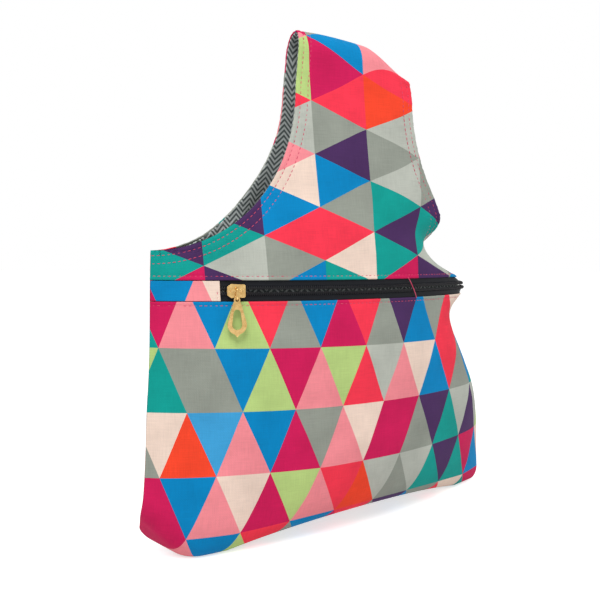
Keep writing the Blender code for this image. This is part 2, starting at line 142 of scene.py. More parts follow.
# How finely the faces are worked out and divided
SECTION_STEPS = 32
PROBE = 0.1 * MM
PROBE_LEVEL = 0.002
LEVEL_SLOPE = 1e-6
FLAT_SAMPLES = 601
ARMHOLE_SAMPLES = 120
ARMHOLE_SPACING = 0.8
STRAP_SAMPLES = 60
HANDLE_ROWS = (84, 14, 18)
HANDLE_SPACING = 0.9
BASE_ROWS = 4
LINING_BASE_ROWS = 3
PANEL_LOWEST = -12 * MM
LINING_LOWEST = -10 * MM
POCKET_ROWS = 118
POCKET_COLUMNS = 196
YOKE_WALL_ROWS = 13
BACK_ROWS = 96
HANDLE_COLUMNS = 190
LINING_ROWS = 40
POCKET_LINING_ROWS = 30
LINING_COLUMNS = 90
TAPE_ROWS = 40
TAPE_COLUMNS = 120
TAB_ROWS = 14
TAB_COLUMNS = 44
END_SHARES = (0.012, 0.006, 0.003, 0.0015)
HEM_STEPS = np.array([0.15, 0.35, 0.6, 1, 1.6, 2.4, 3.2, 4.4]) * MM
TAB_SIDE_STEPS = np.array([0.15, 0.4]) * MM
TAB_END_SHARES = np.array([0.003, 0.008, 0.016, 0.03])

# The lie of the cloth: its bottom bow, folded edges, puckers at the stitches and soft swells
BASE_ARCH = 9 * MM
BASE_ARCH_PLACE = 12 * MM
BASE_ARCH_HALF = 100 * MM
BASE_ARCH_HEIGHT = 45 * MM
STITCH_ROWS = (3.2 * MM, 8.0 * MM)
HEM_ROW = 2.4 * MM
TAB_ROW = 1.8 * MM
FOLD_SHARE = 0.9
STITCH_SINK = 0.22 * MM
STITCH_SINK_REACH = 0.8 * MM
EDGE_SWELL = 0.25 * MM
EDGE_SWELL_REACH = 1.3 * MM
PUCKER = 0.13 * MM
PUCKER_STEP = 1.35 * MM
PUCKER_DRIFT = 1.7
PUCKER_DRIFT_STEP = 11 * MM
ARMHOLE_PUCKER_REACH = 8 * MM
HEM_PUCKER_REACH = 5 * MM
TAB_PUCKER_REACH = 2.5 * MM
BROAD_SWELL = 1.0 * MM
BROAD_SWELL_SIZE = 58 * MM
FINE_SWELL = 0.28 * MM
FINE_SWELL_SIZE = 21 * MM
FINE_SWELL_STRETCH = 1.6
FINE_SWELL_SHIFT = 7
FRONT_SWELL_PLACE = 3.0
BACK_SWELL_PLACE = 47.0
ARMHOLE_EASE = 16 * MM
SEAM_EASE = 14 * MM
BOTTOM_EASE = 20 * MM
HEM_EASE = 10 * MM
TOP_EASE = 0.6

# Thread, chain and tape
STITCH_LENGTH = 2.3 * MM
STITCH_STEP = 3.1 * MM
STITCH_POINTS = 6
STITCH_ROUND = 0.6
STITCH_PROUD = 0.05 * MM
STITCH_SUNK = 0.32 * MM
STITCH_BED = 0.2 * MM
STITCH_TAPER = 0.7
STITCH_END_GAP = 1 * MM
HEM_POINTS = 300
SHORT_ROW_POINTS = 40
THREAD_RADIUS = 0.24 * MM
RIB_HEIGHT = 0.18 * MM
RIB_WIDTH = 1.1 * MM
COIL_PITCH = 1.35 * MM
COIL_WIRE = 0.3 * MM
COIL_STEPS = 14
CHAIN_NEAR = 0.45 * MM
CHAIN_FAR = 2.85 * MM
CHAIN_PROUD = 0.7 * MM
CHAIN_SUNK = 1.0 * MM
CHAIN_END = 131 * MM
TACK_PLACE = 43 * MM
TACK_REACH = 1 * MM
TACK_SLANT = (-3.5 * MM, 4.5 * MM)
TACK_LIFT = 1.15 * MM
TACK_ROUND = 0.5
TACK_BED = 0.1 * MM
TACK_RADIUS = 0.3 * MM
TACK_POINTS = 24
TACK_SIDES = 6
TUBE_ASIDE = (0.31, 0.52, 0.79)

# The triangle print, before the cloth is cut
TRIANGLE_BASE = 33.3 * MM
TRIANGLE_HEIGHT = 38.2 * MM
POCKET_PRINT_TURN = math.radians(1.02)
POCKET_PRINT_PIVOT = 94 * MM
POCKET_PRINT_ACROSS = 133 * MM
POCKET_PRINT_DOWN = 126 * MM
YOKE_PRINT_TURN = math.radians(-2.64)
YOKE_PRINT_PIVOT = 204 * MM
YOKE_PRINT_ACROSS = 414.9 * MM
YOKE_PRINT_DOWN = -27.6 * MM
BACK_PRINT_ACROSS = 2.4 * TRIANGLE_HEIGHT
BACK_PRINT_UP = 0.7 * TRIANGLE_BASE
TAB_PRINT_ACROSS = 9 * MM
TAB_PRINT_UP = 30 * MM
INK = {
    "magenta": (206, 28, 88),
    "blue": (2, 132, 192),
    "sky": (64, 160, 214),
    "teal": (14, 156, 146),
    "lime": (182, 208, 128),
    "pink": (243, 142, 150),
    "red": (246, 58, 80),
    "orange": (246, 72, 44),
    "purple": (74, 46, 92),
    "grey": (148, 153, 143),
    "silver": (184, 188, 178),
    "cream": (238, 214, 198),
}
PRINT_ORDER = (
    "magenta pink blue lime red grey blue magenta red grey purple blue grey red cream teal "
    "magenta pink lime orange silver teal cream red sky purple lime magenta cream pink silver teal"
).split()
ROW_STARTS = (1, 15, 19, 27)
ROW_STRIDES = (1, 29, 5, 11)

# Weave, slubs, patches of tone and chevrons. The scales are noise cells for each metre
COTTON_THREAD = 0.5 * MM
TAPE_THREAD = 0.7 * MM
SLUB_ACROSS = 1800
SLUB_ALONG = 90
PATCH_SCALE = 42.0
CHEVRON_COLUMN = 5 * MM
CHEVRON_PITCH = 3.4 * MM
CHEVRON_EDGE = (-0.35, 0.55)
SCUFF_SCALE = 900.0
CLOUD_SCALE = 420.0
TWIST_SCALE = 2500.0

# Darker and lighter tone of each other finish, as a screen shows them
LINING_TONES = ((84, 92, 91), (186, 192, 190))
TAPE_TONES = ((9, 10, 14), (30, 32, 38))
COIL_TONES = ((10, 10, 13), (44, 44, 48))
GOLD_TONES = ((186, 138, 70), (250, 216, 150))
THREAD_TONES = ((176, 26, 68), (238, 78, 120))

# The relief's strength, and the places of a colour Mix node's sockets
BUMP_STRENGTH = 0.6
MIX_DARK = 6
MIX_LIGHT = 7
MIX_RESULT = 2

# Rounded edges of the metal
METAL_BEVELS = {"slider_body": 0.22 * MM, "pull_link": 0.0, "pull_tab": 0.3 * MM}
METAL_WELD = 1e-6
METAL_SEGMENTS = 3
METAL_EDGE = math.radians(35)

# Floor, surround, lamps and camera
WHITE = (1, 1, 1, 1)
FLOOR_HALF_SIZE = 6
FLOOR_DROP = 0.2 * MM
FLOOR_TONE = (0.75, 0.75, 0.75, 1)
FLOOR_GLOW = 0.62
SURROUND_LIGHT = 0.55
SURROUND_SEEN = 0.45
SURROUND_IN_METAL = 0.8
LAMP_AIM = (0, 0, 0.2)
CAMERA_PLACE = (-251.5 * MM, -392.5 * MM, 185.2 * MM)
CAMERA_YAW = math.radians(-29.81)
CAMERA_PITCH = math.radians(-3.99)
CAMERA_ROLL = math.radians(0.42)
CAMERA_LENS = 40.65
CAMERA_SENSOR = 36
CAMERA_NEAR = 0.01


Lines = collections.namedtuple(
    "Lines",
    "z half depth lean pivot chord seat_pivot seat_chord stretch curve curl turn turn_start turn_width",
)
SHAPE_VALUES = 5


def smoothstep(t):
    """Eases from 0 to 1 as t does."""
    t = np.clip(t, 0.0, 1.0)
    return t * t * (3 - 2 * t)


def fullness(z):
    """Share of the full bulge at a height on the upright wall of the bag."""
    if z < FULL_HEIGHT:
        share = smoothstep((z - ROLL_HEIGHT) / (FULL_HEIGHT - ROLL_HEIGHT))
        return ROLL_FULLNESS + (1 - ROLL_FULLNESS) * share
    share = smoothstep((z - FULL_HEIGHT) / (SHOULDER_HEIGHT - FULL_HEIGHT))
    return 1 - (1 - SHOULDER_FULLNESS) * share


def seam_half_width(z):
    """Flat half width of the cloth between its side seams, with the rounded bottom corners."""
    half = HALF_WIDTH_BASE + (HALF_WIDTH_SHOULDER - HALF_WIDTH_BASE) * z / SHOULDER_HEIGHT
    if z < SEAM_CORNER_RADIUS:
        half -= SEAM_CORNER_RADIUS - math.sqrt(SEAM_CORNER_RADIUS**2 - (SEAM_CORNER_RADIUS - z) ** 2)
    return half


def side_turn(z):
    """How far the right side turns away at a height, where along the section it begins and how soon."""
    amount = SIDE_TURN * smoothstep(z / SHOULDER_HEIGHT)
    amount *= 1 - smoothstep((z - SHOULDER_HEIGHT) / SIDE_TURN_FADE)
    near = math.exp(-(((z - ZIP_HEIGHT) / ZIP_HOLD_REACH) ** 2))
    start = SIDE_TURN_START + SIDE_TURN_SLOPE * (ZIP_HEIGHT - z) + ZIP_HOLD * near
    return amount, start, SIDE_TURN_WIDTH - ZIP_TURN_SHARPER * near


def section_angle(q, curve, curl, turn, turn_start, turn_width):
    """Slope of a plan section at places q: an arc that curls in at the seams and turns away on the right."""
    past = np.maximum(np.abs(q) - CURL_START, 0.0)
    angle = curve * q + np.sign(q) * curl * past**2
    return np.minimum(angle + turn * smoothstep((q - turn_start) / turn_width), STEEPEST)


def plan_section(s, *shape):
    """Place across and sag of points s along a plan section."""
    steps = (np.arange(SECTION_STEPS) + 0.5) / SECTION_STEPS
    angle = section_angle(np.multiply.outer(s, steps), *(np.expand_dims(x, -1) for x in shape))
    return np.cos(angle).mean(-1) * s, np.sin(angle).mean(-1) * s


class Level:
    """One level line of a face. Its chord joins its two ends, and the pivot is the left one."""

    def __init__(self, z, full, half, share=1.0):
        turn, turn_start, turn_width = side_turn(z)
        self.z = z
        self.half = half
        self.lean = 0.0
        curve, curl = FULL_CURVE * full * share, SEAM_CURL * full * share
        self.shape = [curve, curl, turn * share, turn_start, turn_width]
        left, self.depth = plan_section(np.float64(-half), *self.shape)
        right, right_sag = plan_section(np.float64(half), *self.shape)
        self.pivot = left
        self.chord = math.atan2(right_sag - self.depth, right - left)
        self.span = math.hypot(right_sag - self.depth, right - left)
        self.seat = (self.pivot, self.chord, 1.0)

    def row(self):
        """The values in the order of Lines."""
        return [self.z, self.half, self.depth, self.lean, self.pivot, self.chord, *self.seat, *self.shape]


def paired(z, full, half, back):
    """A level line of the front, or the flatter one of the back, which is seated on the front's own chord."""
    made = front = Level(z, full, half)
    if back:
        made = Level(z, full, half, 1 - (1 - BACK_SHARE) * smoothstep(z / ROLL_HEIGHT))
        made.seat = (front.pivot, front.chord, front.span / made.span)
    return made


@functools.lru_cache(maxsize=None)
def level(v, back):
    """Level line number v: 0 to 1 base, to 2 roll, to 3 wall, to 4 armhole, to 5 strap and to 6 crown."""
    if v <= BASE_END:
        half = seam_half_width(0) * (BASE_SEAM_SHARE + (1 - BASE_SEAM_SHARE) * v)
        return paired(0.0, BASE_FULLNESS * max(v, 0.0), half, back)
    if v <= ROLL_END:
        angle = (v - BASE_END) * math.pi / 2
        z = ROLL_HEIGHT * (1 - math.cos(angle))
        full = BASE_FULLNESS + (ROLL_FULLNESS - BASE_FULLNESS) * math.sin(angle)
        return paired(z, full, seam_half_width(z), back)
    if v <= SHOULDER:
        z = ROLL_HEIGHT + (v - ROLL_END) * (SHOULDER_HEIGHT - ROLL_HEIGHT)
        return paired(z, fullness(z), seam_half_width(z), back)
    return handle_level(v, back)


def handle_level(v, back):
    """Level lines above the shoulder, where the cloth narrows to the strap and bends over the crown."""
    crown_start = HANDLE_TOP - CROWN_RADIUS
    strap_start = SHOULDER_HEIGHT + ARMHOLE_RISE
    if v <= STRAP:
        angle = (v - SHOULDER) * math.pi / 2
        z = SHOULDER_HEIGHT + ARMHOLE_RISE * (1 - math.cos(angle))
        half = HALF_WIDTH_SHOULDER - (HALF_WIDTH_SHOULDER - HANDLE_HALF_WIDTH) * math.sin(angle)
    else:
        z = strap_start + min(v - STRAP, 1) * (crown_start - strap_start)
        half = HANDLE_HALF_WIDTH - (v - STRAP) * (HANDLE_HALF_WIDTH - CROWN_HALF_WIDTH) / (TOP - STRAP)
    share = 1 - (1 - (z - SHOULDER_HEIGHT) / (crown_start - SHOULDER_HEIGHT)) ** HANDLE_EASE
    shoulder = paired(SHOULDER_HEIGHT, SHOULDER_FULLNESS, HALF_WIDTH_SHOULDER, back)
    side = BACK_HANDLE_DEPTH if back else FRONT_HANDLE_DEPTH
    made = paired(z, SHOULDER_FULLNESS * (1 - share), half, back)
    made.shape[0] += HANDLE_CURVE * share
    made.depth = shoulder.depth + (side - shoulder.depth) * share
    left = 1 - float(smoothstep((z - SHOULDER_HEIGHT) / CHORD_FADE))
    pivot, chord, stretch = shoulder.seat
    made.pivot, made.chord = shoulder.pivot, shoulder.chord * left
    made.seat = (made.pivot + (pivot - made.pivot) * left, chord * left, 1 + (stretch - 1) * left)
    if v > CROWN:
        made.lean = (v - CROWN) * math.pi / 2
        made.depth -= CROWN_RADIUS * (1 - math.cos(made.lean))
        made.z += CROWN_RADIUS * math.sin(made.lean)
    return made


def wall_level(z):
    """The level number of a height on the upright wall."""
    return ROLL_END + (z - ROLL_HEIGHT) / (SHOULDER_HEIGHT - ROLL_HEIGHT)


def level_lines(v, back):
    """The values of each level line in turn, as columns that spread over a grid."""
    rows = np.array([level(float(x), back).row() for x in v])
    return Lines(*(rows[:, i : i + 1] for i in range(rows.shape[1])))


def surface(s, v, back):
    """Outer surface of one face before it is seated. s is a grid of places across, v its level lines."""
    lines = level_lines(v, back)
    shape = [np.broadcast_to(x, s.shape) for x in lines[-SHAPE_VALUES:]]
    across, sag = plan_section(s, *shape)
    return np.stack([across, lines.depth - sag * np.cos(lines.lean), lines.z - sag * np.sin(lines.lean)], -1)


def inward(s, v, back):
    """Unit normals that point into the bag."""
    along = surface(s + PROBE, v, back) - surface(s - PROBE, v, back)
    above, below = np.minimum(v + PROBE_LEVEL, TOP), np.maximum(v - PROBE_LEVEL, 0)
    up = surface(s, above, back) - surface(s, below, back)
    normal = -np.cross(up, along)
    return normal / np.linalg.norm(normal, axis=-1, keepdims=True)


def rise_and_fall(v, rise, fall):
    """A share that grows from 0 to 1 over the first stretch of level numbers and falls over the second."""
    up = smoothstep((v - rise[0]) / (rise[1] - rise[0]))
    return up * (1 - smoothstep((v - fall[0]) / (fall[1] - fall[0])))


def side_spread(x, z, v):
    """How much further the right side reaches, at the strap and towards the bottom."""
    strap = STRAP_SPREAD * smoothstep(x / STRAP_SPREAD_WIDTH)
    strap = strap * rise_and_fall(v[:, None], STRAP_SPREAD_RISE, STRAP_SPREAD_FALL)
    foot = FOOT_SPREAD * smoothstep((x - FOOT_SPREAD_START) / FOOT_SPREAD_WIDTH)
    foot = foot * (1 - smoothstep((z - FOOT_SPREAD_HEIGHT) / FOOT_SPREAD_FADE))
    return strap + foot * (v[:, None] < SHOULDER)


def crown_shift(x, v):
    """How far the handle's top stands above the level crown: more on the left, and down at the right."""
    shift = CROWN_LIFT - CROWN_TILT * x / HANDLE_HALF_WIDTH
    shift = shift - CROWN_DROP * smoothstep((x - CROWN_DROP_START) / CROWN_DROP_WIDTH)
    return shift * smoothstep((v[:, None] - CROWN_SHIFT_START) / (TOP - CROWN_SHIFT_START))


def bottom_bow(x, z):
    """How far the bottom edge rises off the ground between its corners."""
    across = np.clip(1 - ((x - BASE_ARCH_PLACE) / BASE_ARCH_HALF) ** 2, 0, 1)
    bow = across * np.clip(1 - z / BASE_ARCH_HEIGHT, 0, 1) ** 2
    return BASE_ARCH * bow


def back_draw(s, v):
    """How far the back lies in towards the front beside the armholes."""
    lines = level_lines(v, True)
    face = surface(s, v, True)
    stand = (face[..., 0] - lines.pivot) * np.sin(lines.chord) + face[..., 1] * np.cos(lines.chord)
    return BACK_DRAW * rise_and_fall(v[:, None], BACK_DRAW_RISE, BACK_DRAW_FALL) * np.maximum(stand, 0.0)


def bent_corner(x, y, z):
    """Bends the bottom corner on the left back about a slanting line."""
    way = np.array([CORNER_FOOT - CORNER_HEAD, CORNER_HEIGHT])
    way = way / np.linalg.norm(way)
    past = (x + CORNER_FOOT) * -way[1] + z * way[0]
    bent = np.clip(past / CORNER_BEND_RADIUS, 0, CORNER_BEND)
    rest = np.maximum(past, 0.0) - bent * CORNER_BEND_RADIUS
    kept = CORNER_BEND_RADIUS * np.sin(bent) + rest * math.cos(CORNER_BEND) - np.maximum(past, 0.0)
    back = CORNER_BEND_RADIUS * (1 - np.cos(bent)) + rest * math.sin(CORNER_BEND)
    return x - way[1] * kept, y + back, z + way[0] * kept


def cloth(s, v, depth, back, seam=None):
    """Places points below the outer surface in the standing bag. seam marks those in the seam plane."""
    s, v = np.asarray(s, float), np.asarray(v, float)
    place = surface(s, v, back) + inward(s, v, back) * np.broadcast_to(depth, s.shape)[..., None]
    lines = level_lines(v, back)
    x, y, z = place[..., 0] - lines.pivot, place[..., 1], place[..., 2]
    along = (x * np.cos(lines.chord) - y * np.sin(lines.chord)) * lines.stretch
    out = x * np.sin(lines.chord) + y * np.cos(lines.chord)
    if back:
        out = out - back_draw(s, v)
    out = np.where(v[:, None] <= SHOULDER, np.maximum(out, 0.0), out)
    if seam is not None:
        out = np.where(seam, 0.0, out)
    out = (out + CLEARANCE / 2) * (1 if back else -1)
    x = lines.seat_pivot + along * np.cos(lines.seat_chord) - out * np.sin(lines.seat_chord)
    y = along * np.sin(lines.seat_chord) + out * np.cos(lines.seat_chord)
    rise = z - ZIP_HEIGHT
    turn = TWIST * rise + TWIST_GROWTH * rise**2
    bow = bottom_bow(x, z)
    x = x + side_spread(x, z, v)
    z = z + bow + crown_shift(x, v)
    x, y, z = bent_corner(x, y, z)
    return np.stack([x * np.cos(turn) - y * np.sin(turn), x * np.sin(turn) + y * np.cos(turn), z], -1)


def line(s, v, depth, back=False):
    """A line of single points on the cloth."""
    s, v, depth = (np.broadcast_to(x, np.shape(s)) for x in (s, v, depth))
    return cloth(s[:, None], v, depth[:, None], back)[:, 0]


def ends(v, depth, back):
    """Both ends of the cloth at each level, less what a depth below a seamed face takes off."""
    lines = level_lines(v, back)
    found = []
    for side in (-1, 1):
        steep = section_angle(side * lines.half, *lines[-SHAPE_VALUES:])
        slope = np.sin(side * steep - side * lines.chord)
        normal = inward(side * lines.half, v, back)
        lift = -(normal[..., 0] * np.sin(lines.chord) + normal[..., 1] * np.cos(lines.chord))
        seamed = (v[:, None] <= SHOULDER) & (slope > LEVEL_SLOPE)
        trim = np.where(seamed, depth * lift / np.maximum(slope, LEVEL_SLOPE), 0.0)
        found.append(side * (lines.half - trim))
    return found


def spread_across(shares, v, depth, back):
    """Places from end to end of each level, at shares from -1 to 1."""
    low, high = ends(v, depth, back)
    return low + (high - low) * (shares + 1) / 2


def seam_distance(s, v, back):
    """How far places lie from the nearer end of their level line."""
    low, high = ends(v, 0.0, back)
    return np.minimum(s - low, high - s)


def flat_tables(back):
    """Level numbers and the height of the flat cloth at each, along the middle of one face."""
    v = np.linspace(0, TOP, FLAT_SAMPLES)
    points = surface(np.zeros((len(v), 1)), v, back)[:, 0]
    run = np.concatenate([[0], np.cumsum(np.linalg.norm(np.diff(points, axis=0), axis=1))])
    height = points[:, 2].copy()
    low, high = v < ROLL_END, v > CROWN
    height[low] = ROLL_HEIGHT - (np.interp(ROLL_END, v, run) - run[low])
    height[high] = np.interp(CROWN, v, height) + (run[high] - np.interp(CROWN, v, run))
    return v, height


FLAT = {False: flat_tables(False), True: flat_tables(True)}


def flat_height(v, back):
    """Height on the flat cloth of level numbers."""
    return np.interp(v, *FLAT[back])


def level_of(height, back):
    """Level numbers of heights on the flat cloth."""
    return np.interp(height, *FLAT[back][::-1])


def armhole_edge(back):
    """Flat places of the cut edge from the shoulder to the crown: half widths and heights."""
    curved = SHOULDER + np.linspace(0, 1, ARMHOLE_SAMPLES) ** ARMHOLE_SPACING
    v = np.concatenate([curved, np.linspace(STRAP, TOP, STRAP_SAMPLES)[1:]])
    return np.array([level(x, back).half for x in v]), flat_height(v, back)


def edge_distance(s, height, back):
    """Distance of flat places from the armhole's edge, and how far along that edge they lie."""
    edge_s, edge_h = armhole_edge(back)
    run = np.concatenate([[0], np.cumsum(np.hypot(np.diff(edge_s), np.diff(edge_h)))])
    gap = np.hypot(np.abs(s)[..., None] - edge_s, height[..., None] - edge_h)
    near = gap.argmin(-1)
    return gap.min(-1), run[near]


def folded(distance, radius):
    """Depth by which a folded edge rounds off, near the fold."""
    inside = np.clip(radius - distance, 0, radius)
    return (radius - np.sqrt(np.maximum(radius**2 - inside**2, 0))) * FOLD_SHARE


def sewn(distance, run, rows, reach):
    """Depth of the cloth beside an edge: sunk at the rows of stitches, proud and puckered around them."""
    sunk = sum(STITCH_SINK * np.exp(-(((distance - row) / STITCH_SINK_REACH) ** 2)) for row in rows)
    proud = EDGE_SWELL * np.exp(-(((distance - rows[0] / 2) / EDGE_SWELL_REACH) ** 2))
    pucker = np.sin(run / PUCKER_STEP + PUCKER_DRIFT * np.sin(run / PUCKER_DRIFT_STEP))
    fade = np.exp(-(((distance - rows[-1] / 2) / reach) ** 2))
    return sunk - proud - PUCKER * pucker * fade


def soft_noise(s, height, size, place):
    """Smooth random swell from -1 to 1 over the flat cloth, cut from the noise at a place."""
    flat = [
        noise.noise(Vector((a / size, b / size, place)))
        for a, b in zip(np.ravel(s), np.ravel(np.broadcast_to(height, np.shape(s))))
    ]
    return np.reshape(flat, np.shape(s))


def swell(s, height, place):
    """The slow unevenness of worn-in cloth, as a depth."""
    broad = soft_noise(s, height, BROAD_SWELL_SIZE, place)
    fine = soft_noise(s, height * FINE_SWELL_STRETCH, FINE_SWELL_SIZE, place + FINE_SWELL_SHIFT)
    return BROAD_SWELL * broad + FINE_SWELL * fine


def slack(s, v):
    """Upright waves of the back, as a depth, which take up the cloth that its narrower chord leaves over."""
    stretch = level_lines(v, True).stretch
    height = SLACK_WAVE / math.pi * np.sqrt(np.maximum(1 / stretch**2 - 1, 0))
    ease = smoothstep(seam_distance(s, v, True) / SLACK_EASE)
    ease = ease * smoothstep((CROWN - v[:, None]) / SLACK_TOP_EASE)
    bend = SLACK_BEND * np.sin(flat_height(v, True)[:, None] / SLACK_BEND_LENGTH)
    return SLACK_SHARE * height * ease * np.sin(2 * math.pi * s / SLACK_WAVE + bend)


def lie(s, v, back):
    """How deep the cloth lies below its smooth face: soft swells, and the waves of the slack back."""
    height = flat_height(v, back)[:, None]
    distance, _ = edge_distance(s, np.broadcast_to(height, s.shape), back)
    seam = np.where(v[:, None] >= SHOULDER, 1, seam_distance(s, v, back))
    fade = smoothstep(distance / ARMHOLE_EASE) * smoothstep(seam / SEAM_EASE)
    fade = fade * smoothstep(height / BOTTOM_EASE) * smoothstep((TOP - v[:, None]) / TOP_EASE)
    if back:
        return swell(s, height, BACK_SWELL_PLACE) * fade + slack(s, v)
    gap = np.abs(height - ZIP_HEIGHT) - ZIP_BAND / 2
    return swell(s, height, FRONT_SWELL_PLACE) * fade * smoothstep(gap / HEM_EASE)


def closed_sheet(name, outer, inner, places, material):
    """A thin closed mesh between two equal grids, with its place on the uncut cloth as its UV map."""
    rows, columns = outer.shape[:2]
    points = np.concatenate([outer.reshape(-1, 3), inner.reshape(-1, 3)])
    index = np.arange(rows * columns).reshape(rows, columns)
    quads = np.stack([index[:-1, :-1], index[:-1, 1:], index[1:, 1:], index[1:, :-1]], -1).reshape(-1, 4)
    ring = np.concatenate([index[0, :-1], index[:-1, -1], index[-1, :0:-1], index[:0:-1, 0]])
    after = np.roll(ring, -1)
    size = rows * columns
    rim = np.stack([after, ring, ring + size, after + size], -1)
    faces = np.concatenate([quads, quads[:, ::-1] + size, rim])
    mesh = bpy.data.meshes.new(name)
    mesh.from_pydata(points.tolist(), [], faces.tolist())
    layer = mesh.uv_layers.new(name="cloth")
    loops = np.zeros(len(mesh.loops), int)
    mesh.loops.foreach_get("vertex_index", loops)
    layer.data.foreach_set("uv", np.tile(places.reshape(-1, 2), (2, 1))[loops].astype(np.float32).ravel())
    mesh.materials.append(material)
    bm = bmesh.new()
    bm.from_mesh(mesh)
    bmesh.ops.recalc_face_normals(bm, faces=bm.faces[:])
    bm.to_mesh(mesh)
    bm.free()
    mesh.shade_smooth()
    made = bpy.data.objects.new(name, mesh)
    bpy.context.scene.collection.objects.link(made)
    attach(made, "bag")
    return made


def spread(count, near=()):
    """Shares from -1 to 1, evenly and then closer at the ends."""
    inner = np.linspace(-1, 1, count)[1:-1]
    fine = np.array([1 - x for x in near] + [1.0])
    return np.unique(np.concatenate([-fine, inner, fine]))


def merged(*parts):
    """Sorted rows from several lists, each once."""
    return np.unique(np.concatenate([np.atleast_1d(p) for p in parts]).round(6))


def turned(s, height, angle, pivot):
    """Turns flat places about a point on the middle line."""
    rise = height - pivot
    return s * math.cos(angle) - rise * math.sin(angle), s * math.sin(angle) + rise * math.cos(angle) + pivot


def pocket_print(s, height):
    """Where the pocket panel's places lie on the uncut print."""
    across, up = turned(s, height, POCKET_PRINT_TURN, POCKET_PRINT_PIVOT)
    return np.stack([across + POCKET_PRINT_ACROSS, POCKET_PRINT_DOWN - up], -1)


def yoke_print(s, height):
    """The yoke is cut with its length across the print."""
    across, up = turned(s, height, YOKE_PRINT_TURN, YOKE_PRINT_PIVOT)
    return np.stack([YOKE_PRINT_ACROSS - up, YOKE_PRINT_DOWN - across], -1)


def back_print(s, height):
    """The back is cut like the yoke, from another place of the print."""
    return yoke_print(s + BACK_PRINT_ACROSS, height + BACK_PRINT_UP)


def add_node(tree, kind, inputs=None, **settings):
    """Adds a node, sets its properties, and joins or fills its inputs."""
    node = tree.nodes.new(kind)
    for key, value in settings.items():
        setattr(node, key, value)
    for key, value in (inputs or {}).items():
        if isinstance(value, bpy.types.NodeSocket):
            tree.links.new(value, node.inputs[key])
        else:
            node.inputs[key].default_value = value
    return node


def calc(tree, operation, *values):
    """The result of a Math node on numbers or sockets."""
    return add_node(tree, "ShaderNodeMath", dict(enumerate(values)), operation=operation).outputs[0]


def new_group(name, inputs, outputs):
    """An empty node group, the sockets that it reads from and those that it puts out."""
    tree = bpy.data.node_groups.new(name, "ShaderNodeTree")
    for label, kind, value in inputs:
        socket = tree.interface.new_socket(name=label, in_out="INPUT", socket_type=kind)
        socket.default_value = value
    for label, kind in outputs:
        tree.interface.new_socket(name=label, in_out="OUTPUT", socket_type=kind)
    start = tree.nodes.new("NodeGroupInput")
    end = tree.nodes.new("NodeGroupOutput")
    return tree, start.outputs, end.inputs


def linear(rgb):
    """A colour as a screen shows it, as Blender's own linear values."""
    parts = [c / 255 for c in rgb]
    return [c / 12.92 if c <= 0.04045 else ((c + 0.055) / 1.055) ** 2.4 for c in parts] + [1.0]


def stepped_ramp(tree, value, colours):
    """A ramp of equal steps with no blending."""
    node = add_node(tree, "ShaderNodeValToRGB", {0: value})
    ramp = node.color_ramp
    ramp.interpolation = "CONSTANT"
    ramp.elements.remove(ramp.elements[1])
    ramp.elements[0].position = 0
    ramp.elements[0].color = colours[0]
    for i, colour in enumerate(colours[1:], 1):
        ramp.elements.new(i / len(colours)).color = colour
    return node.outputs["Color"]


def triangle_print():
    """Rows of triangles, which step through one order of inks, each from its own start by its own stride."""
    tree, given, result = new_group(
        "triangle_print",
        [("Across", "NodeSocketFloat", 0.0), ("Down", "NodeSocketFloat", 0.0)],
        [("Color", "NodeSocketColor")],
    )
    down = calc(tree, "DIVIDE", given["Down"], TRIANGLE_HEIGHT)
    row = calc(tree, "FLOOR", down)
    slant = calc(tree, "MULTIPLY", calc(tree, "SUBTRACT", down, row), 0.5)
    shift = calc(tree, "MULTIPLY", calc(tree, "FLOORED_MODULO", row, 2.0), 0.5)
    along = calc(tree, "SUBTRACT", calc(tree, "DIVIDE", given["Across"], TRIANGLE_BASE), shift)
    right = calc(tree, "FLOOR", calc(tree, "ADD", along, slant))
    left = calc(tree, "FLOOR", calc(tree, "SUBTRACT", along, slant))
    count = calc(tree, "ADD", calc(tree, "ADD", right, left), 1.0)
    kinds = float(len(ROW_STARTS))
    kind = calc(tree, "FLOORED_MODULO", calc(tree, "ADD", row, 1.0), kinds)
    steps = len(PRINT_ORDER)
    rules = [(start / steps, stride / steps, 0, 1) for start, stride in zip(ROW_STARTS, ROW_STRIDES)]
    rule = stepped_ramp(tree, calc(tree, "DIVIDE", calc(tree, "ADD", kind, 0.5), kinds), rules)
    split = add_node(tree, "ShaderNodeSeparateColor", {0: rule})
    start = calc(tree, "ROUND", calc(tree, "MULTIPLY", split.outputs[0], steps))
    stride = calc(tree, "ROUND", calc(tree, "MULTIPLY", split.outputs[1], steps))
    place = calc(tree, "FLOORED_MODULO", calc(tree, "MULTIPLY_ADD", count, stride, start), steps)
    fraction = calc(tree, "DIVIDE", calc(tree, "ADD", place, 0.5), steps)
    tree.links.new(stepped_ramp(tree, fraction, [linear(INK[name]) for name in PRINT_ORDER]), result["Color"])
    return tree


